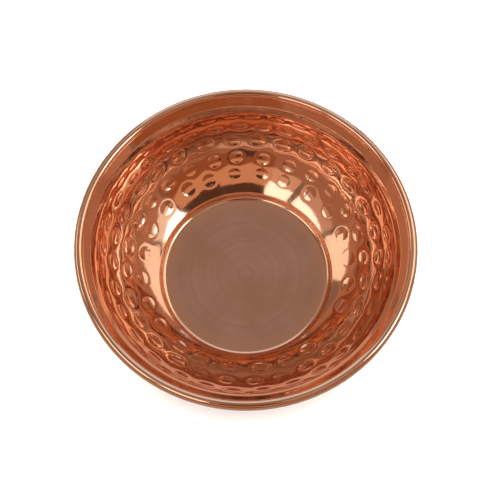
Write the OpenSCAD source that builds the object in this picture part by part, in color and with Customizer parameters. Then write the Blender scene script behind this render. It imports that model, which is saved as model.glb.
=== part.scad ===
// Hammered copper bowl: a spun wall with a wired rim, soldered to a shallow base pan.
// Millimetres, +Z up. The origin is the centre of the underside, and +Z is the bowl's axis.

/* [Bowl] */
// Diameter over the rolled rim
rim_d = 150; // [140:1:165]
// Height from the table to the top of the rim
height = 50; // [47:0.5:56]
// Thickness of the copper sheet
sheet_t = 0.8; // [0.6:0.1:0.9]

/* [Rim] */
// Diameter of the rolled bead
bead_d = 4.2; // [4:0.1:4.6]
// Diameter of the wire inside the bead
wire_d = 2.4; // [1.6:0.1:2.4]
// Where the wall meets the bead, in degrees below its innermost point
crease_angle = 21; // [10:1:30]
// Where the rolled edge ends, in degrees below the bead's outermost point
roll_end_angle = 122; // [90:1:130]

/* [Lip] */
// Distance of the lip's edge in from the middle of the bead
lip_inset = 4.2; // [3.8:0.1:4.6]
// Rounding of the lip's edge, on the inside of the bowl
lip_round = 2; // [1:0.1:3]
// Length of the plain band under the lip
band_len = 3; // [2.4:0.1:4]
// Lean of that band from vertical, in degrees
band_lean = 24; // [15:1:30]
// Rounding where the band turns down into the wall
shoulder_r = 6; // [4:0.5:8]

/* [Wall] */
// Radius of the curve of the upper wall, on the inside
wall_r = 33; // [31:0.5:34]
// Slope where the upper curve meets the flatter one, in degrees from level
flank_slope = 45; // [42:1:48]
// Radius of the flatter curve that runs down to the floor, on the inside
flank_r = 66; // [55:1:80]

/* [Base] */
// Diameter of the opening at the bottom of the wall
floor_d = 83.2; // [80:0.2:86]
// Thickness of the solder between the wall and the base pan
solder_t = 0.1; // [0.05:0.01:0.2]
// Width of the pan's flange, where it laps under the wall
lap_w = 6; // [4:0.5:8]
// Steepest slope of the pan's side, in degrees from level
pan_slope = 70; // [62:1:74]
// Rounding where the pan's side turns out into its flange
pan_bend_r = 1.4; // [1.2:0.1:1.6]

/* [Hidden] */
$fn = 180;

arc_step = 6;         // degrees between the points of a round stretch
lip_slope = 45;       // lean of the flange between the lip and the bead
solder_fillet = 0.6;  // leg of the solder's fillet, outside the flange's edge

copper = [0.80, 0.45, 0.30];
satin_copper = [0.62, 0.40, 0.30];
steel = [0.62, 0.62, 0.64];
solder_grey = [0.70, 0.69, 0.66];

function polar(r, a) = r * [cos(a), sin(a)];

// Points round a centre from angle a0 to angle a1, both ends included
function arc(c, r, a0, a1) =
    let (n = max(2, ceil(abs(a1 - a0) / arc_step)))
    [for (i = [0:n]) c + polar(r, a0 + (a1 - a0) * i / n)];

function reversed(p) = [for (i = [len(p) - 1:-1:0]) p[i]];

// The bead and the crease under it, on the half section (radius, height)
bead_r = bead_d / 2;
bead_c = [rim_d / 2 - bead_r, height - bead_r];
crease_a = 180 + crease_angle;
crease = bead_c + polar(bead_r, crease_a);

// The lip: the flange runs down at 45 degrees from the crease to this edge
lip_start_a = 180 - band_lean;
lip_end_a = 180 - lip_slope;
lip_end_r = bead_c[0] - lip_inset;
lip_end = [lip_end_r, crease[1] - (crease[0] - lip_end_r) / tan(lip_slope)];
lip_c = lip_end - polar(lip_round, lip_end_a);
lip_start = lip_c + polar(lip_round, lip_start_a);

// The plain band, and the shoulder that turns it down to a vertical wall
band_end = lip_start - band_len * [sin(band_lean), cos(band_lean)];
shoulder_c = band_end - polar(shoulder_r, lip_start_a);
wall_top = shoulder_c + polar(shoulder_r, 180);

// The two curves of the wall, with angles counted from level ground
wall_c = wall_top - [wall_r, 0];
flank_top = wall_c + polar(wall_r, flank_slope - 90);
flank_c = flank_top - polar(flank_r, flank_slope - 90);
floor_slope = asin((floor_d / 2 - flank_c[0]) / flank_r);

// The base pan: its flange follows the underside of the wall, one layer of solder away
flange_r = flank_r + sheet_t + solder_t;
lap_angle = lap_w / flange_r * 180 / PI;
flange_in = flank_c + polar(flange_r, floor_slope - 90);
pan_bend_c = flange_in + polar(pan_bend_r, floor_slope - 90);
pan_side = pan_bend_c + polar(pan_bend_r, pan_slope + 90);
pan_fillet_r = (pan_side[1] - sheet_t) / (1 - cos(pan_slope));
pan_fillet_c = pan_side - polar(pan_fillet_r, pan_slope - 90);

// The sheet's lower edge, and the edge of the pan's flange
wall_edge_in = floor_slope - 90;
flange_edge = floor_slope + lap_angle - 90;

// Half section of the wall: the inside face up to the rolled edge, then back down the outside
module wall_section() {
    inside = concat(
        arc(flank_c, flank_r, wall_edge_in, flank_slope - 90),
        arc(wall_c, wall_r, flank_slope - 90, 0),
        arc(shoulder_c, shoulder_r, 180, lip_start_a),
        arc(lip_c, lip_round, lip_start_a, lip_end_a),
        arc(bead_c, bead_r, crease_a, -roll_end_angle));
    outside = concat(
        arc(flank_c, flank_r + sheet_t, wall_edge_in, flank_slope - 90),
        arc(wall_c, wall_r + sheet_t, flank_slope - 90, 0),
        arc(shoulder_c, shoulder_r - sheet_t, 180, lip_start_a),
        arc(lip_c, lip_round - sheet_t, lip_start_a, lip_end_a),
        [crease + polar(sheet_t, -lip_slope)],
        arc(bead_c, bead_r - sheet_t, crease_a, -roll_end_angle));
    polygon(concat(inside, reversed(outside)));
}

// Half section of the pan: the flat floor, its rounded side, and the flange under the wall
module pan_section() {
    inside = concat(
        [[0, sheet_t]],
        arc(pan_fillet_c, pan_fillet_r, -90, pan_slope - 90),
        arc(pan_bend_c, pan_bend_r, pan_slope + 90, floor_slope + 90),
        arc(flank_c, flange_r, wall_edge_in, flange_edge));
    outside = concat(
        [[0, 0]],
        arc(pan_fillet_c, pan_fillet_r + sheet_t, -90, pan_slope - 90),
        arc(pan_bend_c, pan_bend_r - sheet_t, pan_slope + 90, floor_slope + 90),
        arc(flank_c, flange_r + sheet_t, wall_edge_in, flange_edge));
    polygon(concat(inside, reversed(outside)));
}

// Half section of the solder: the layer in the lap, and a fillet round the flange's edge
module solder_section() {
    wall_out_r = flank_r + sheet_t;
    fillet_angle = solder_fillet / wall_out_r * 180 / PI;
    polygon(concat(
        arc(flank_c, wall_out_r, wall_edge_in, flange_edge + fillet_angle),
        [flank_c + polar(flange_r + solder_fillet, flange_edge)],
        reversed(arc(flank_c, flange_r, wall_edge_in, flange_edge))));
}

module hammered_wall() {
    color(copper) rotate_extrude() wall_section();
}

module rim_wire() {
    color(steel) rotate_extrude() translate(bead_c) circle(d = wire_d);
}

module base_pan() {
    color(satin_copper) rotate_extrude() pan_section();
}

module base_solder() {
    color(solder_grey) rotate_extrude() solder_section();
}

hammered_wall();
rim_wire();
base_pan();
base_solder();
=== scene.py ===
"""The looks of the hammered copper bowl: a punched, wired wall on a satin base pan.

The bowl's lengths are in millimetres on its half section (radius, height), and each mesh is
scaled to metres as it is made. The sizes repeat those of the CAD source, and the rim's radius and
the height come from the frame. The studio's lengths are in metres.
"""

import math

import bpy
import numpy as np
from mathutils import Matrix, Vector
from mathutils.geometry import delaunay_2d_cdt


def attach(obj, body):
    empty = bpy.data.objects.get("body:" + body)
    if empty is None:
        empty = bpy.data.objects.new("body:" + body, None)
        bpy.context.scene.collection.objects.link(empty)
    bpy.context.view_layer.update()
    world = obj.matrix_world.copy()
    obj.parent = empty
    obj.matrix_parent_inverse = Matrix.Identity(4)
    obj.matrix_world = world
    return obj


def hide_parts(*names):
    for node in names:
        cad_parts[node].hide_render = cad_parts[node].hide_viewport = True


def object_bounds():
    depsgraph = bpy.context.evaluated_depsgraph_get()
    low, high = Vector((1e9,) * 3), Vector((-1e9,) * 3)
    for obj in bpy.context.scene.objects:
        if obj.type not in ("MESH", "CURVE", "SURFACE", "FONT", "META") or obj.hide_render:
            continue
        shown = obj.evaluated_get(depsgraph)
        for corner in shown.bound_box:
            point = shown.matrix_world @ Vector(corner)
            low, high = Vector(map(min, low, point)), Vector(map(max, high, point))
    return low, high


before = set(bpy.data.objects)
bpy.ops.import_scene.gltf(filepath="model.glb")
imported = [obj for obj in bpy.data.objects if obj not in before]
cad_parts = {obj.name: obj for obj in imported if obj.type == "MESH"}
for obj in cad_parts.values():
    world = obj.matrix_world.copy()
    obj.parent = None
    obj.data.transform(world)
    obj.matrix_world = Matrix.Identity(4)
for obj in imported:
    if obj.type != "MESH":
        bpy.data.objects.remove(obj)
cad_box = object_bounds()

MM = 0.001
SEED = 20

# The bowl's half section, as in the CAD source
RIM_R = round(cad_box[1].x / MM, 1)
HEIGHT = round(cad_box[1].z / MM, 1)
SHEET_T = 0.8
BEAD_R = 2.1
CREASE_ANGLE = 201
ROLL_END_ANGLE = -122
LIP_INSET = 4.2
LIP_ROUND = 2.0
LIP_SLOPE = 45
BAND_LEN = 3.0
BAND_LEAN = 24
SHOULDER_R = 6.0
WALL_R = 33.0
FLANK_SLOPE = 45
FLANK_R = 66.0
FLOOR_R = 41.6
SOLDER_T = 0.1
LAP_W = 6.0
PAN_SLOPE = 70
PAN_BEND_R = 1.4

COLUMNS = 400         # vertices round the bowl in each ring
ZONE_LOW = 4.5        # the punched zone, as distances up the wall from the floor's edge
ZONE_HIGH = 48.3


# ---------------------------------------------------------------- half sections

def polar(r, degrees):
    """The point at a distance and an angle from the origin of the half section."""
    a = np.radians(degrees)
    return np.stack([r * np.cos(a), r * np.sin(a)], -1)


def arc(centre, r, start, stop, side, step=1.0):
    """Points and unit normals round a centre; side is 1 where the face looks away from it."""
    n = max(2, math.ceil(abs(stop - start) / step))
    a = np.linspace(start, stop, n + 1)
    return np.array(centre) + polar(r, a), side * polar(1.0, a)


def wall_geometry():
    """Centres of the wall's arcs, found from the rim down as in the CAD source."""
    g = {}
    g["bead"] = np.array([RIM_R - BEAD_R, HEIGHT - BEAD_R])
    g["crease"] = g["bead"] + polar(BEAD_R, CREASE_ANGLE)
    lip_end_r = g["bead"][0] - LIP_INSET
    drop = (g["crease"][0] - lip_end_r) / math.tan(math.radians(LIP_SLOPE))
    lip_end = np.array([lip_end_r, g["crease"][1] - drop])
    g["lip"] = lip_end - polar(LIP_ROUND, 180 - LIP_SLOPE)
    lip_start = g["lip"] + polar(LIP_ROUND, 180 - BAND_LEAN)
    band_end = lip_start - BAND_LEN * polar(1.0, 90 - BAND_LEAN)
    g["shoulder"] = band_end - polar(SHOULDER_R, 180 - BAND_LEAN)
    g["wall"] = g["shoulder"] + polar(SHOULDER_R, 180) - np.array([WALL_R, 0])
    flank_top = g["wall"] + polar(WALL_R, FLANK_SLOPE - 90)
    g["flank"] = flank_top - polar(FLANK_R, FLANK_SLOPE - 90)
    g["floor_slope"] = math.degrees(math.asin((FLOOR_R - g["flank"][0]) / FLANK_R))
    return g


G = wall_geometry()


class Path:
    """The inside face from the floor's edge to the crease, by distance along it."""

    def __init__(self):
        pieces = [
            arc(G["flank"], FLANK_R, G["floor_slope"] - 90, FLANK_SLOPE - 90, -1, 0.1),
            arc(G["wall"], WALL_R, FLANK_SLOPE - 90, 0, -1, 0.2),
            arc(G["shoulder"], SHOULDER_R, 180, 180 - BAND_LEAN, 1, 0.5),
            arc(G["lip"], LIP_ROUND, 180 - BAND_LEAN, 180 - LIP_SLOPE, 1, 1.0),
            (G["crease"][None], polar(1.0, 180 - LIP_SLOPE)[None]),
        ]
        self.point = np.concatenate([p for p, _ in pieces])
        self.normal = np.concatenate([n for _, n in pieces])
        gaps = np.linalg.norm(np.diff(self.point, axis=0), axis=1)
        self.s = np.concatenate([[0], np.cumsum(gaps)])
        self.length = self.s[-1]
        ends = np.cumsum([len(p) for p, _ in pieces]) - 1
        self.flank_end, self.wall_end, self.shoulder_end, self.lip_end = self.s[ends[:4]]
        self.lip_start = self.s[ends[2] + 1]

    def at(self, s, offset=0.0):
        """Points at distances s, moved offset along the normal into the bowl."""
        normal = np.stack([np.interp(s, self.s, self.normal[:, i]) for i in (0, 1)], -1)
        normal /= np.linalg.norm(normal, axis=-1, keepdims=True)
        point = np.stack([np.interp(s, self.s, self.point[:, i]) for i in (0, 1)], -1)
        return point + normal * np.asarray(offset)[..., None]


PATH = Path()


# ---------------------------------------------------------------- mesh building

class Shell:
    """A mesh of rings round +Z, with patches between some of them."""

    FIRST_RING = 0    # where the ring that is added first starts

    def __init__(self, columns=COLUMNS):
        self.columns = columns
        self.vertices = []
        self.faces = []
        self.count = 0

    def add(self, points):
        """Adds vertices. Returns the number of the first."""
        first = self.count
        self.vertices.append(np.asarray(points, float))
        self.count += len(points)
        return first

    def ring(self, r, z):
        """Adds one ring of vertices. Returns the number of its first."""
        a = np.arange(self.columns) * 2 * math.pi / self.columns
        r = np.broadcast_to(r, a.shape)
        z = np.broadcast_to(z, a.shape)
        return self.add(np.stack([r * np.cos(a), r * np.sin(a), z], -1))

    def bridge(self, low, high):
        """Quads between two rings, facing the axis when high is further up the inside."""
        n = self.columns
        for j in range(n):
            k = (j + 1) % n
            self.faces.append((low + j, high + j, high + k, low + k))

    def rings(self, points, last=None):
        """Adds rings along half-section points, bridged in order. Returns the last ring."""
        for r, z in points:
            new = self.ring(r, z)
            if last is not None:
                self.bridge(last, new)
            last = new
        return last

    def object(self, name):
        """The finished mesh as an object in the scene, in metres."""
        mesh = bpy.data.meshes.new(name)
        at = np.concatenate(self.vertices) * MM
        mesh.from_pydata(at.tolist(), [], self.faces)
        mesh.validate()
        mesh.shade_smooth()
        made = bpy.data.objects.new(name, mesh)
        bpy.context.scene.collection.objects.link(made)
        return made


# ---------------------------------------------------------------- hammer marks

# Rows of marks from the floor up: distance up the wall, marks in the row, half width and half
# height of a mark, the azimuth of the row's first mark in degrees, how far the row strays
# towards +Y and away from -Y, and how deep its marks are
ROWS = [
    (9.4, 24, 3.6, 3.2, 6, 1.0, 0.55),
    (18.1, 28, 3.8, 3.0, 4, 0.0, 0.8),
    (27.6, 30, 3.9, 2.9, 49, 0.0, 1.0),
    (36.2, 34, 3.7, 2.4, 40, 0.0, 1.0),
    (43.6, 39, 3.6, 2.0, 50, 0.0, 0.8),
]
DISH_DEPTH = 0.2      # depth of a mark's middle under the plain wall
DISH_POWER = 2.6      # how flat the bottom of a mark is, and how sharp its edge
BURR_H = 0.12         # height of the ridge that the punch raises round a mark
BURR_W = 0.24         # width of the ridge's outer slope, as a share of the mark's half size
PITCH_STRAY = 0.05    # spread of the marks' places round the bowl, as a share of their pitch
HEIGHT_STRAY = 0.25   # spread of their places up the wall
WIDTH_SPREAD = 0.06   # spread of their half widths, as a share
HEIGHT_SPREAD = 0.07  # spread of their half heights, as a share
TILT_SPREAD = 8       # spread of their tilts, in degrees
DEPTH_SPREAD = 0.2    # spread of their depths, as a share

WAVES = 9
WAVE_AROUND = (12, 40)  # waves in a full turn: from the first up to below the second
WAVE_UP = 0.35        # spread of the waves up the wall, in radians per millimetre
WAVE_H = 0.004        # height of each wave
WAVE_FADE = 5.0       # length over which the waves fade out at the punched zone's edges

NEAR_AROUND = 0.2     # how far from a mark's middle its relief is worked out, in radians
NEAR_UP = 8           # and up the wall


def make_marks(rng):
    """Each mark as azimuth, distance up the wall, half width, half height, tilt and depth."""
    marks = []
    for s, count, half_w, half_h, first, stray, depth in ROWS:
        pitch = 360 / count
        for i in range(count):
            a = math.radians(first + (i + rng.normal(0, PITCH_STRAY)) * pitch)
            marks.append((
                a % (2 * math.pi),
                s + stray * math.sin(a) + rng.normal(0, HEIGHT_STRAY),
                half_w * (1 + rng.normal(0, WIDTH_SPREAD)),
                half_h * (1 + rng.normal(0, HEIGHT_SPREAD)),
                rng.normal(0, math.radians(TILT_SPREAD)),
                depth * (1 + rng.normal(0, DEPTH_SPREAD)),
            ))
    return np.array(marks)


def make_waves(rng):
    """Gentle waves of the hand-worked sheet: waves round the bowl, waves up it, and a phase."""
    waves = []
    for _ in range(WAVES):
        waves.append((rng.integers(*WAVE_AROUND), rng.normal(0, WAVE_UP), rng.uniform(0, 6.28)))
    return waves


def mark_profile(d):
    """Height over the plain wall at d, which is 0 in a mark's middle and 1 on its ridge."""
    dish = -DISH_DEPTH + (DISH_DEPTH + BURR_H) * d ** DISH_POWER
    slope = BURR_H * np.exp(-((d - 1) / BURR_W) ** 2)
    return np.where(d < 1, dish, slope)


def relief(azimuth, s, marks, waves):
    """Height of the inside face over the plain wall, at arrays of azimuth and distance."""
    total = np.zeros(len(s))
    for around, up, phase in waves:
        total += WAVE_H * np.sin(around * azimuth + up * s + phase)
    fade_in = np.clip((s - ZONE_LOW) / WAVE_FADE, 0, 1)
    fade_out = np.clip((ZONE_HIGH - s) / WAVE_FADE, 0, 1)
    total *= fade_in * fade_out
    for a0, s0, half_w, half_h, tilt, strength in marks:
        da = (azimuth - a0 + math.pi) % (2 * math.pi) - math.pi
        near = (np.abs(da) < NEAR_AROUND) & (np.abs(s - s0) < NEAR_UP)
        if not near.any():
            continue
        x = da[near] * PATH.at(np.array([s0]))[0, 0]
        y = s[near] - s0
        u = (x * math.cos(tilt) + y * math.sin(tilt)) / half_w
        v = (y * math.cos(tilt) - x * math.sin(tilt)) / half_h
        total[near] += strength * mark_profile(np.hypot(u, v))
    return total


SHOULDER_START = 44.0  # distance up the wall above which it turns more sharply
FINE_GAP = 0.45       # spacing of the rows of points there
# How finely each face is meshed: the rings of points round a mark (as shares of its half
# size), the points in each ring, and the spacing of the points between marks
INSIDE_MESH = ((0.0, 0.35, 0.62, 0.84, 0.95, 1.0, 1.05, 1.18, 1.36),
               (1, 7, 12, 20, 26, 28, 28, 26, 22), 1.2)
OUTSIDE_MESH = ((0.0, 0.5, 0.85, 1.0, 1.22), (1, 7, 14, 16, 14), 1.9)
FLAT_R = 60.0         # the radius at which azimuth is laid out flat for the triangulation
FILL_JITTER = 0.12    # how far the points between marks are moved round the bowl at random
EDGE_CLEAR = 0.3      # gap kept between the marks' points and the punched zone's edges
MARK_CLEAR = 0.2      # gap kept round a mark's last ring, as a share of its half size
WRAP_MARGIN = 12.0    # width repeated past each end of the flat layout, so that it wraps
WRAP_SLACK = 1.0      # how far past the ends a triangle's middle may lie
FAR = 9.0             # farther than any point is from its nearest mark
SAME_POINT = 1e-7


def flat_points(marks, rng, fineness):
    """Points of the punched zone laid out flat: x round the bowl, y up the wall."""
    ring_d, ring_n, gap = fineness
    around = 2 * math.pi * FLAT_R
    points = []
    for a0, s0, half_w, half_h, tilt, _ in marks:
        r0 = PATH.at(np.array([s0]))[0, 0]
        for d, n in zip(ring_d, ring_n):
            turn = rng.uniform(0, 2 * math.pi)
            for k in range(n):
                u = half_w * d * math.cos(turn + 2 * math.pi * k / n)
                v = half_h * d * math.sin(turn + 2 * math.pi * k / n)
                x = u * math.cos(tilt) - v * math.sin(tilt)
                y = u * math.sin(tilt) + v * math.cos(tilt)
                points.append((a0 * FLAT_R + x / r0 * FLAT_R, s0 + y, d))
    points = np.array(points)
    rows = [ZONE_LOW]
    while rows[-1] < ZONE_HIGH - gap:
        rows.append(rows[-1] + (gap if rows[-1] < SHOULDER_START else FINE_GAP))
    columns = int(around / gap)
    gx, gy = np.meshgrid(np.arange(columns), np.arange(1, len(rows)))
    fill = np.stack([
        (gx + 0.5 * (gy % 2)).ravel() * around / columns,
        np.array(rows)[gy.ravel()],
    ], -1)
    fill[:, 0] += rng.uniform(-FILL_JITTER, FILL_JITTER, len(fill))
    return points, fill


def nearest_mark(x, y, marks):
    """The smallest d over all marks at flat points, and which mark has it."""
    best = np.full(len(x), FAR)
    which = np.full(len(x), -1)
    around = 2 * math.pi * FLAT_R
    for i, (a0, s0, half_w, half_h, tilt, _) in enumerate(marks):
        r0 = PATH.at(np.array([s0]))[0, 0]
        dx = ((x - a0 * FLAT_R + around / 2) % around - around / 2) / FLAT_R * r0
        dy = y - s0
        u = (dx * math.cos(tilt) + dy * math.sin(tilt)) / half_w
        v = (dy * math.cos(tilt) - dx * math.sin(tilt)) / half_h
        d = np.hypot(u, v)
        closer = d < best
        best[closer] = d[closer]
        which[closer] = i
    return best, which


def punched_layout(marks, rng, fineness):
    """Flat vertices and triangles of the punched zone. The first and last COLUMNS vertices
    are its lower and upper rings, and x wraps round."""
    around = 2 * math.pi * FLAT_R
    ring_d, ring_n, _ = fineness
    ringed, fill = flat_points(marks, rng, fineness)
    owner = np.repeat(np.arange(len(marks)), sum(ring_n))
    best, which = nearest_mark(ringed[:, 0], ringed[:, 1], marks)
    keep = (which == owner) | (ringed[:, 2] == 0)
    keep &= ringed[:, 1] > ZONE_LOW + EDGE_CLEAR
    keep &= ringed[:, 1] < ZONE_HIGH - EDGE_CLEAR
    ringed = ringed[keep, :2]
    best, _ = nearest_mark(fill[:, 0], fill[:, 1], marks)
    fill = fill[best > ring_d[-1] + MARK_CLEAR]
    inner = np.concatenate([ringed, fill])
    inner[:, 0] %= around
    edge_x = np.arange(COLUMNS) * around / COLUMNS
    low = np.stack([edge_x, np.full(COLUMNS, ZONE_LOW)], -1)
    high = np.stack([edge_x, np.full(COLUMNS, ZONE_HIGH)], -1)
    flat = np.concatenate([low, inner, high])

    ids = np.arange(len(flat))
    left = flat[:, 0] > around - WRAP_MARGIN
    right = flat[:, 0] < WRAP_MARGIN
    every = np.concatenate([flat, flat[left] - [around, 0], flat[right] + [around, 0]])
    source = np.concatenate([ids, ids[left], ids[right]])
    made = delaunay_2d_cdt([Vector(p) for p in every], [], [], 0, SAME_POINT)
    verts = np.array([tuple(v) for v in made[0]])
    origin = [o[0] for o in made[3]]
    triangles = []
    seen = set()
    for face in made[2]:
        middle = verts[list(face), 0].mean()
        mapped = tuple(int(source[origin[i]]) for i in face)
        key = frozenset(mapped)
        inside = -WRAP_SLACK <= middle < around + WRAP_SLACK
        if inside and key not in seen and len(key) == 3:
            seen.add(key)
            triangles.append(mapped)
    return flat, triangles


def on_wall(flat, height, offset):
    """Space coordinates of flat points on the wall, offset along the normal."""
    a = flat[:, 0] / FLAT_R
    p = PATH.at(flat[:, 1], offset + height)
    return np.stack([p[:, 0] * np.cos(a), p[:, 0] * np.sin(a), p[:, 1]], -1)


# ---------------------------------------------------------------- the pieces

EDGE_ROUND = 0.22     # rounding of the sheet's lower edge
EDGE_TURNS = (0, 30, 60, 90)
LOW_START = 0.6       # distance up the wall of the first ring above the cut edge

# Spacing of the rings along the sheet, inside and outside
LOW_GAP = 0.9
BAND_GAPS = (0.7, 0.8)
LIP_GAPS = (0.12, 0.2)
FLANGE_GAPS = (0.6, 0.8)
CREASE_CLEAR = 0.12   # where the even rings stop before the crease
CREASE_LAST = 0.05    # where the last ring before the crease is
BEAD_STEPS = (7, 18)  # degrees between rings on the bead's outer and inner faces
CREASE_TURNS = (1.4, 3.5, 1.1)  # the close rings on the bead at the crease: start, stop, step
END_TURN = 12         # how far the rounded end of the roll reaches, in degrees

PAN_COLUMNS = 240
PAN_HOLE = 0.3        # radius of the innermost ring of the pan's flat
PAN_FLAT_RINGS = (30, 12)       # rings on the flat, inside and outside
PAN_FILLET_STEPS = (2, 3)       # degrees between rings, inside and outside
PAN_BEND_STEPS = (4, 6)
PAN_FLANGE_STEP = 1


def lower_edge():
    """Half-section points round the sheet's cut edge, from the outside face to the inside."""
    slope = G["floor_slope"]
    outward = polar(1.0, slope - 90)
    down = polar(1.0, slope + 180)
    inside = PATH.at(np.array([0.0]))[0]
    points = []
    for turn in EDGE_TURNS:
        a = math.radians(turn)
        points.append(inside + outward * (SHEET_T - EDGE_ROUND * (1 - math.cos(a)))
                      - down * EDGE_ROUND * (1 - math.sin(a)))
    for turn in EDGE_TURNS:
        a = math.radians(turn)
        points.append(inside + outward * EDGE_ROUND * (1 - math.sin(a))
                      - down * EDGE_ROUND * (1 - math.cos(a)))
    return points


def add_punched(shell, fineness, marks, waves, rng, offset):
    """Adds the punched zone of one face of the sheet. Returns its lower and upper rings."""
    flat, triangles = punched_layout(marks, rng, fineness)
    height = relief(flat[:, 0] / FLAT_R, flat[:, 1], marks, waves)
    height[:COLUMNS] = 0
    height[-COLUMNS:] = 0
    low = shell.add(on_wall(flat, height, offset))
    for a, b, c in triangles:
        corners = (low + a, low + b, low + c)
        shell.faces.append(corners if offset else corners[::-1])
    return low, low + len(flat) - COLUMNS


def rows_between(s0, s1, gap):
    """Distances from s0 to s1, evenly spaced and no further apart than the gap."""
    n = max(1, math.ceil((s1 - s0) / gap))
    return np.linspace(s0, s1, n + 1)


def make_wall():
    """The whole sheet: cut edge, flank, punched zone, band, lip, bead, and back outside."""
    rng = np.random.default_rng(SEED)
    marks = make_marks(rng)
    waves = make_waves(rng)

    shell = Shell()
    start = shell.rings(lower_edge())
    low_rows = rows_between(LOW_START, ZONE_LOW, LOW_GAP)[:-1]
    low_end = shell.rings(PATH.at(low_rows), start)

    inner_low, last = add_punched(shell, INSIDE_MESH, marks, waves, rng, 0.0)
    shell.bridge(low_end, inner_low)

    top_s = np.concatenate([
        rows_between(ZONE_HIGH, PATH.lip_start, BAND_GAPS[0])[1:],
        rows_between(PATH.lip_start, PATH.lip_end, LIP_GAPS[0])[1:],
        rows_between(PATH.lip_end, PATH.length - CREASE_CLEAR, FLANGE_GAPS[0])[1:],
        [PATH.length - CREASE_LAST],
    ])
    last = shell.rings(PATH.at(top_s), last)
    bead_out, _ = arc(G["bead"], BEAD_R, CREASE_ANGLE, ROLL_END_ANGLE, 1, BEAD_STEPS[0])
    start_turn, stop_turn, step = CREASE_TURNS
    close, _ = arc(G["bead"], BEAD_R, CREASE_ANGLE - start_turn, CREASE_ANGLE - stop_turn, 1, step)
    last = shell.rings(np.concatenate([bead_out[:1], close, bead_out[1:]]), last)
    end_round = G["bead"] + polar(BEAD_R - SHEET_T / 2, ROLL_END_ANGLE - END_TURN)
    last = shell.rings([end_round], last)
    bead_in, _ = arc(G["bead"], BEAD_R - SHEET_T, ROLL_END_ANGLE, CREASE_ANGLE, 1, BEAD_STEPS[1])
    last = shell.rings(bead_in, last)
    corner = G["crease"] + polar(SHEET_T, -LIP_SLOPE)
    last = shell.rings([corner], last)

    down_s = np.concatenate([
        rows_between(PATH.lip_end, PATH.length, FLANGE_GAPS[1])[:-1][::-1],
        rows_between(PATH.lip_start, PATH.lip_end, LIP_GAPS[1])[:-1][::-1],
        rows_between(ZONE_HIGH, PATH.lip_start, BAND_GAPS[1])[1:-1][::-1],
    ])
    last = shell.rings(PATH.at(down_s, -SHEET_T), last)
    outer_low, outer_high = add_punched(shell, OUTSIDE_MESH, marks, waves, rng, -SHEET_T)
    shell.bridge(last, outer_high)
    last = shell.rings(PATH.at(low_rows[::-1], -SHEET_T), outer_low)
    shell.bridge(last, Shell.FIRST_RING)
    return shell.object("copper_wall")


def pan_face(face, fillet, fillet_r, bend, bend_r, flange_r, lap):
    """Half-section points of the pan from its flat to the flange's edge: face is 0 or 1 for
    the inside or the outside."""
    slope = G["floor_slope"]
    z = (SHEET_T, 0)[face]
    flat = [(r, z) for r in np.linspace(PAN_HOLE, fillet[0], PAN_FLAT_RINGS[face])]
    return np.concatenate([
        flat[:-1],
        arc(fillet, fillet_r, -90, PAN_SLOPE - 90, -1, PAN_FILLET_STEPS[face])[0],
        arc(bend, bend_r, PAN_SLOPE + 90, slope + 90, 1, PAN_BEND_STEPS[face])[0],
        arc(G["flank"], flange_r, slope - 90, slope - 90 + lap, -1, PAN_FLANGE_STEP)[0],
    ])


def make_pan():
    """The base pan: its flat floor, rounded side, and the flange lapped under the wall."""
    slope = G["floor_slope"]
    flange_r = FLANK_R + SHEET_T + SOLDER_T
    lap = math.degrees(LAP_W / flange_r)
    flange_in = G["flank"] + polar(flange_r, slope - 90)
    bend = flange_in + polar(PAN_BEND_R, slope - 90)
    side = bend + polar(PAN_BEND_R, PAN_SLOPE + 90)
    fillet_r = (side[1] - SHEET_T) / (1 - math.cos(math.radians(PAN_SLOPE)))
    fillet = side - polar(fillet_r, PAN_SLOPE - 90)
    inside = pan_face(0, fillet, fillet_r, bend, PAN_BEND_R, flange_r, lap)
    outside = pan_face(1, fillet, fillet_r + SHEET_T, bend, PAN_BEND_R - SHEET_T,
                       flange_r + SHEET_T, lap)
    shell = Shell(PAN_COLUMNS)
    first = Shell.FIRST_RING
    last = shell.rings(inside)
    last = shell.rings(outside[::-1], last)
    top = shell.add([(0, 0, SHEET_T)])
    bottom = shell.add([(0, 0, 0)])
    for j in range(PAN_COLUMNS):
        k = (j + 1) % PAN_COLUMNS
        shell.faces.append((top, first + j, first + k))
        shell.faces.append((bottom, last + k, last + j))
    return shell.object("satin_pan")


wall = make_wall()
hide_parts("hammered_wall")
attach(wall, "root")
pan = make_pan()
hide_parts("base_pan")
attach(pan, "root")


# ---------------------------------------------------------------- materials

COPPER = (0.93, 0.585, 0.43)
DEEP_COPPER = (0.88, 0.49, 0.33)
# A darker copper that the concave places take: the marks' hollows and the creases
HOLLOW_DARK = (0.42, 0.17, 0.08)
SATIN = (0.93, 0.575, 0.43)
DULL_SATIN = (0.80, 0.465, 0.32)
WORN_SATIN = (0.70, 0.41, 0.28)
# A warmer orange that is a painted reflection of the copper wall, in the pan near its edge
WALL_REFLECTION_TONE = (0.96, 0.5, 0.3)
SOLDER = (0.6, 0.58, 0.55)
DULL_SOLDER = (0.4, 0.37, 0.34)
STEEL = (0.55, 0.55, 0.56)
DULL_STEEL = (0.36, 0.35, 0.34)
# Between these radii the satin gets the painted reflection of the copper wall
PAN_WALL_REFLECTION_RADII = (0.0335, 0.0382)    # radii, in metres, between which the satin turns warmer
PAN_EDGE = (0.0378, 0.0398)   # and between which it turns polished


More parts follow.
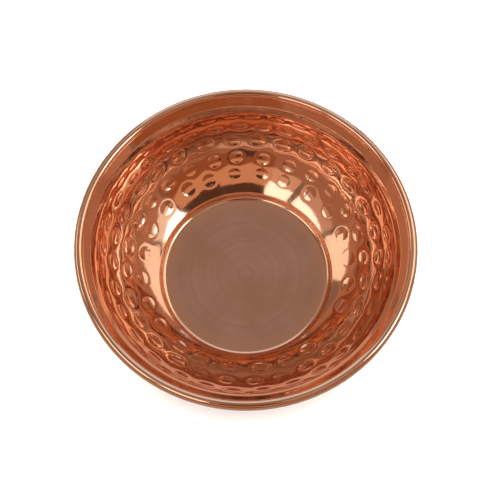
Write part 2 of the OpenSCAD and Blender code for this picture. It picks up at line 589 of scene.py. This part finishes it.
class Nodes:
    """A material's node tree, with short ways to add and join its nodes."""

    def __init__(self, name):
        self.material = bpy.data.materials.new(name)
        self.material.use_nodes = True
        self.tree = self.material.node_tree
        self.shader = self.tree.nodes["Principled BSDF"]
        self.where = self.tree.nodes.new("ShaderNodeTexCoord").outputs["Object"]

    def add(self, kind, inputs=None, **settings):
        node = self.tree.nodes.new(kind)
        for key, value in settings.items():
            setattr(node, key, value)
        for key, value in (inputs or {}).items():
            if isinstance(value, bpy.types.NodeSocket):
                self.tree.links.new(value, node.inputs[key])
            else:
                node.inputs[key].default_value = value
        return node

    def noise(self, scale, detail=2.0, vector=None):
        """A noise between 0 and 1; scale is in waves per metre."""
        node = self.add("ShaderNodeTexNoise", {
            "Vector": vector or self.where, "Scale": scale, "Detail": detail})
        return node.outputs["Fac"]

    def spread(self, value, low, high, start=0.35, stop=0.65):
        """Maps a value's range from start to stop onto low to high."""
        node = self.add("ShaderNodeMapRange", {
            "Value": value, "From Min": start, "From Max": stop, "To Min": low, "To Max": high})
        return node.outputs["Result"]

    def blend(self, factor, first, second):
        node = self.add("ShaderNodeMix", data_type="RGBA")
        self.tree.links.new(factor, node.inputs["Factor"])
        for key, value in (("A", first), ("B", second)):
            socket = [i for i in node.inputs if i.name == key and i.type == "RGBA"][0]
            if isinstance(value, bpy.types.NodeSocket):
                self.tree.links.new(value, socket)
            else:
                socket.default_value = (*value, 1)
        return [o for o in node.outputs if o.type == "RGBA"][0]

    def bump(self, height, strength, distance):
        node = self.add("ShaderNodeBump", {
            "Height": height, "Strength": strength, "Distance": distance})
        self.tree.links.new(node.outputs["Normal"], self.shader.inputs["Normal"])

    def set(self, socket, value):
        if isinstance(value, bpy.types.NodeSocket):
            self.tree.links.new(value, self.shader.inputs[socket])
        else:
            self.shader.inputs[socket].default_value = value


def radius_of(n):
    """The distance from the bowl's axis, in metres."""
    flat = n.add("ShaderNodeVectorMath", {0: n.where, 1: (1, 1, 0)}, operation="MULTIPLY")
    length = n.add("ShaderNodeVectorMath", {0: flat.outputs["Vector"]}, operation="LENGTH")
    return length.outputs["Value"]


def along_x(n, value):
    """A vector along X, for a noise that varies with one value only."""
    return n.add("ShaderNodeCombineXYZ", {"X": value}).outputs["Vector"]


def polished_copper():
    n = Nodes("polished_copper")
    n.set("Metallic", 1.0)
    tarnish = n.spread(n.noise(45, 4), 0.0, 0.6, 0.45, 0.75)
    polished = n.blend(tarnish, COPPER, DEEP_COPPER)
    # Darker copper where the mesh is concave, by its pointiness: in the marks' hollows and in the
    # creases
    hollow = n.add("ShaderNodeNewGeometry").outputs["Pointiness"]
    n.set("Base Color", n.blend(n.spread(hollow, 0.75, 0.0, 0.42, 0.495), polished, HOLLOW_DARK))
    n.set("Roughness", n.spread(n.noise(160, 5), 0.045, 0.1))
    n.bump(n.noise(260, 3), 0.06, 0.0004)
    return n.material


def satin_copper():
    n = Nodes("satin_copper")
    n.set("Metallic", 1.0)
    radius = radius_of(n)
    turning = n.noise(900, 3, along_x(n, radius))
    clouds = n.noise(38, 4)
    cloudy = n.blend(n.spread(clouds, 0, 1), SATIN, DULL_SATIN)
    rings = n.noise(420, 2, along_x(n, radius))
    turned = n.blend(n.spread(rings, 0, 0.4), cloudy, WORN_SATIN)
    polished_edge = n.spread(radius, 0, 1, *PAN_EDGE)
    # Painted reflection: a warmer orange ring near the pan's edge, where the copper wall would be
    # mirrored in it
    wall_reflected = n.blend(n.spread(radius, 0, 0.7, *PAN_WALL_REFLECTION_RADII), turned, WALL_REFLECTION_TONE)
    n.set("Base Color", n.blend(polished_edge, wall_reflected, COPPER))
    n.set("Roughness", n.spread(clouds, 0.07, 0.12))
    n.bump(turning, 0.05, 0.0002)
    return n.material


def soft_solder():
    n = Nodes("soft_solder")
    n.set("Metallic", 1.0)
    n.set("Base Color", n.blend(n.spread(n.noise(300, 3), 0, 1), SOLDER, DULL_SOLDER))
    n.set("Roughness", n.spread(n.noise(700, 3), 0.3, 0.5))
    n.bump(n.noise(500, 3), 0.2, 0.0002)
    return n.material


def steel_wire():
    n = Nodes("steel_wire")
    n.set("Metallic", 1.0)
    n.set("Base Color", n.blend(n.spread(n.noise(200, 3), 0, 1), STEEL, DULL_STEEL))
    n.set("Roughness", n.spread(n.noise(600, 3), 0.25, 0.42))
    n.bump(n.noise(900, 3), 0.15, 0.0001)
    return n.material


copper = polished_copper()
satin = satin_copper()
wall.data.materials.append(copper)
pan.data.materials.append(satin)
for node, m in (("hammered_wall", copper), ("base_pan", satin),
                ("base_solder", soft_solder()), ("rim_wire", steel_wire())):
    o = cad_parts[node]
    o.data.materials.clear()
    o.data.materials.append(m)


# ---------------------------------------------------------------- studio

WHITE = (1.0, 1.0, 1.0)
CREAM = (1.0, 0.93, 0.84)
WARM = (1.0, 0.5, 0.28)
DIM_RED = (1.0, 0.47, 0.27)
DEEP_RED = (1.0, 0.34, 0.13)
PEACH = (1.0, 0.86, 0.7)
SILL = (1.0, 0.61, 0.43)
SOFT_WARM = (1.0, 0.8, 0.7)

FLOOR_HALF = 12.0
FLOOR_Z = -0.00005
FLOOR_GREY = 0.92
FLOOR_ROUGHNESS = 0.9
REFLECTION_Z = -0.0006
# How the floor's reflection brightens away from the bowl: from this radius to that one, and from
# this radiance to that one
SHADE = (0.035, 0.15, 0.04, 0.42)

BACKDROP_R = 2.4
BACKDROP_HEIGHTS = (-0.5, 3.0)
BACKDROP_SIDES = 64
BACKDROP_GLOW = 0.92

PANEL_STEP = 3        # degrees between a panel's columns of points
PANEL_ROWS = 9        # rows of points up a panel
CLOSER = 0.97         # radius of the panel that stands in front of another
# Panels as name, azimuths, elevations, radiance, colour and, where it isn't 1, radius
PANELS = [
    ("window_right", (337, 363), (40.5, 58), 3.6, WHITE),
    ("window_right_sill", (337, 363), (31, 40.5), 0.95, PEACH),
    ("window_left", (184, 220), (44, 59), 1.75, CREAM),
    ("window_left_sill", (184, 220), (33, 44), 0.58, SILL),
    ("window_left_front", (226, 249), (45, 59), 1.75, CREAM),
    ("window_left_front_sill", (226, 249), (33, 45), 0.68, SILL),
    ("window_left_back", (150, 181), (24, 42), 1.15, PEACH),
    ("wall_back_right", (8, 58), (24, 38), 1.1, PEACH),
    ("wall_back", (60, 118), (0, 56), 0.72, WHITE),
    ("wall_back_left_high", (118, 150), (33, 60), 0.4, PEACH),
    ("wall_back_right_high", (6, 57), (40, 62), 1.5, PEACH),
    ("ceiling", (60, 120), (56, 80), 0.33, SOFT_WARM),
    ("dark_front", (250, 295), (49.5, 56), 0.09, DIM_RED),
    ("dark_front_right", (295, 335), (45.5, 58), 0.09, DIM_RED),
    ("dark_front_low", (262, 278), (17, 27.5), 0.09, DIM_RED, CLOSER),
    ("dark_front_high", (250, 292), (56, 70), 0.09, DIM_RED),
    ("ceiling_front_left", (186, 249), (59, 80), 0.5, PEACH),
    ("ceiling_front_right", (294, 360), (59, 80), 0.5, PEACH),
    ("warm_front_high", (250, 295), (33.5, 49.5), 0.62, WARM),
    ("warm_front_right_high", (295, 335), (33.5, 45.5), 0.62, WARM),
    ("warm_front", (250, 335), (20, 33.5), 0.3, DEEP_RED),
    ("warm_front_low", (183, 366), (3, 20), 0.36, DIM_RED),
    ("warm_left_low", (183, 249), (20, 33.5), 0.36, DIM_RED),
    ("warm_right_low", (337, 366), (20, 31), 0.45, DIM_RED),
    ("warm_back_low", (3, 58), (3, 24), 0.4, DIM_RED),
    ("warm_left_back_low", (120, 183), (3, 24), 0.42, DIM_RED),
]

WORLD_COLOUR = (1, 0.66, 0.46, 1)
WORLD_STRENGTH = 0.24
LAMP_SIZE = 1.6
LAMP_ENERGY = 70
LAMP_Z = 1.5


def glow_material(name, colour, radiance=1.0):
    m = bpy.data.materials.new(name)
    m.use_nodes = True
    nodes = m.node_tree.nodes
    nodes.clear()
    glow = nodes.new("ShaderNodeEmission")
    glow.inputs["Color"].default_value = (*colour, 1)
    glow.inputs["Strength"].default_value = radiance
    out = nodes.new("ShaderNodeOutputMaterial")
    m.node_tree.links.new(glow.outputs[0], out.inputs["Surface"])
    return m


def studio_object(name, points, faces, material):
    mesh = bpy.data.meshes.new(name)
    mesh.from_pydata(points, [], faces)
    mesh.materials.append(material)
    made = bpy.data.objects.new(name, mesh)
    bpy.context.scene.collection.objects.link(made)
    return made


def ground_square(name, z, material):
    """A large flat square, a little below the bowl's underside."""
    h = FLOOR_HALF
    corners = [(-h, -h, 0), (h, -h, 0), (h, h, 0), (-h, h, 0)]
    made = studio_object(name, corners, [(0, 1, 2, 3)], material)
    made.location.z = z
    return made


def floor():
    """The floor that the camera sees, which the copper doesn't mirror."""
    m = bpy.data.materials.new("studio_floor")
    m.use_nodes = True
    b = m.node_tree.nodes["Principled BSDF"]
    b.inputs["Base Color"].default_value = (FLOOR_GREY, FLOOR_GREY, FLOOR_GREY, 1)
    b.inputs["Roughness"].default_value = FLOOR_ROUGHNESS
    o = ground_square("studio_floor", FLOOR_Z, m)
    o.visible_glossy = False


def floor_reflection():
    """What the copper mirrors of the floor: a card just under it, dim where the bowl shades it."""
    m = glow_material("floor_reflection", PEACH)
    tree = m.node_tree
    place = tree.nodes.new("ShaderNodeTexCoord")
    distance = tree.nodes.new("ShaderNodeVectorMath")
    distance.operation = "LENGTH"
    shade = tree.nodes.new("ShaderNodeMapRange")
    shade.interpolation_type = "SMOOTHSTEP"
    for name, value in zip(("From Min", "From Max", "To Min", "To Max"), SHADE):
        shade.inputs[name].default_value = value
    tree.links.new(place.outputs["Object"], distance.inputs[0])
    tree.links.new(distance.outputs["Value"], shade.inputs["Value"])
    tree.links.new(shade.outputs["Result"], tree.nodes["Emission"].inputs["Strength"])
    o = ground_square("floor_reflection", REFLECTION_Z, m)
    o.visible_camera = False
    o.visible_diffuse = False
    o.visible_shadow = False


def backdrop():
    """A pale wall round the studio, which lights nothing."""
    n = BACKDROP_SIDES
    turns = [2 * math.pi * i / n for i in range(n)]
    points = []
    for z in BACKDROP_HEIGHTS:
        for a in turns:
            points.append((BACKDROP_R * math.cos(a), BACKDROP_R * math.sin(a), z))
    faces = [(i, (i + 1) % n, n + (i + 1) % n, n + i) for i in range(n)]
    o = studio_object("backdrop", points, faces, glow_material("backdrop", WHITE, BACKDROP_GLOW))
    o.visible_diffuse = False
    o.visible_glossy = False
    o.visible_shadow = False


def panel(name, azimuths, elevations, radiance, colour, radius=1.0):
    """A lit patch of a dome round the bowl, between two azimuths and two elevations."""
    across = np.radians(np.arange(azimuths[0], azimuths[1] + PANEL_STEP / 2, PANEL_STEP))
    up = np.radians(np.linspace(*elevations, PANEL_ROWS))
    points = []
    for e in up:
        for a in across:
            points.append((radius * math.cos(a) * math.cos(e),
                           radius * math.sin(a) * math.cos(e),
                           radius * math.sin(e) + HEIGHT * MM))
    n = len(across)
    faces = []
    for i in range(len(up) - 1):
        for j in range(n - 1):
            faces.append((i * n + j, i * n + j + 1, (i + 1) * n + j + 1, (i + 1) * n + j))
    o = studio_object(name, points, faces, glow_material(name, colour, radiance))
    o.visible_camera = False
    o.visible_shadow = False


def light_world():
    world = bpy.data.worlds.new("studio")
    bpy.context.scene.world = world
    world.use_nodes = True
    sky = world.node_tree.nodes["Background"]
    sky.inputs["Color"].default_value = WORLD_COLOUR
    sky.inputs["Strength"].default_value = WORLD_STRENGTH


def table_light():
    """A large soft lamp over the table, which the copper doesn't mirror."""
    lamp = bpy.data.lights.new("table_light", "AREA")
    lamp.size = LAMP_SIZE
    lamp.energy = LAMP_ENERGY
    o = bpy.data.objects.new("table_light", lamp)
    bpy.context.scene.collection.objects.link(o)
    o.location = (0, 0, LAMP_Z)
    o.visible_glossy = False
    o.visible_camera = False


floor()
floor_reflection()
backdrop()
for row in PANELS:
    panel(*row)
light_world()
table_light()


# ---------------------------------------------------------------- camera

CAMERA_DISTANCE = 5 * RIM_R
CAMERA_ELEVATION = 68.58
LENS = 61.7
SENSOR_WIDTH = 36
CAMERA_SHIFT = (0.0084, -0.023)
cam_data = bpy.data.cameras.new("camera")
cam = bpy.data.objects.new("camera", cam_data)
bpy.context.scene.collection.objects.link(cam)
target = Vector((0, 0, G["bead"][1] * MM))
e = math.radians(CAMERA_ELEVATION)
back = Vector((0, -math.cos(e), math.sin(e)))
cam.location = target + back * CAMERA_DISTANCE * MM
cam.rotation_mode = "QUATERNION"
cam.rotation_quaternion = (-back).to_track_quat("-Z", "Y")
cam_data.lens = LENS
cam_data.sensor_width = SENSOR_WIDTH
cam_data.shift_x, cam_data.shift_y = CAMERA_SHIFT
bpy.context.scene.camera = cam
bpy.context.scene.view_settings.view_transform = "Standard"
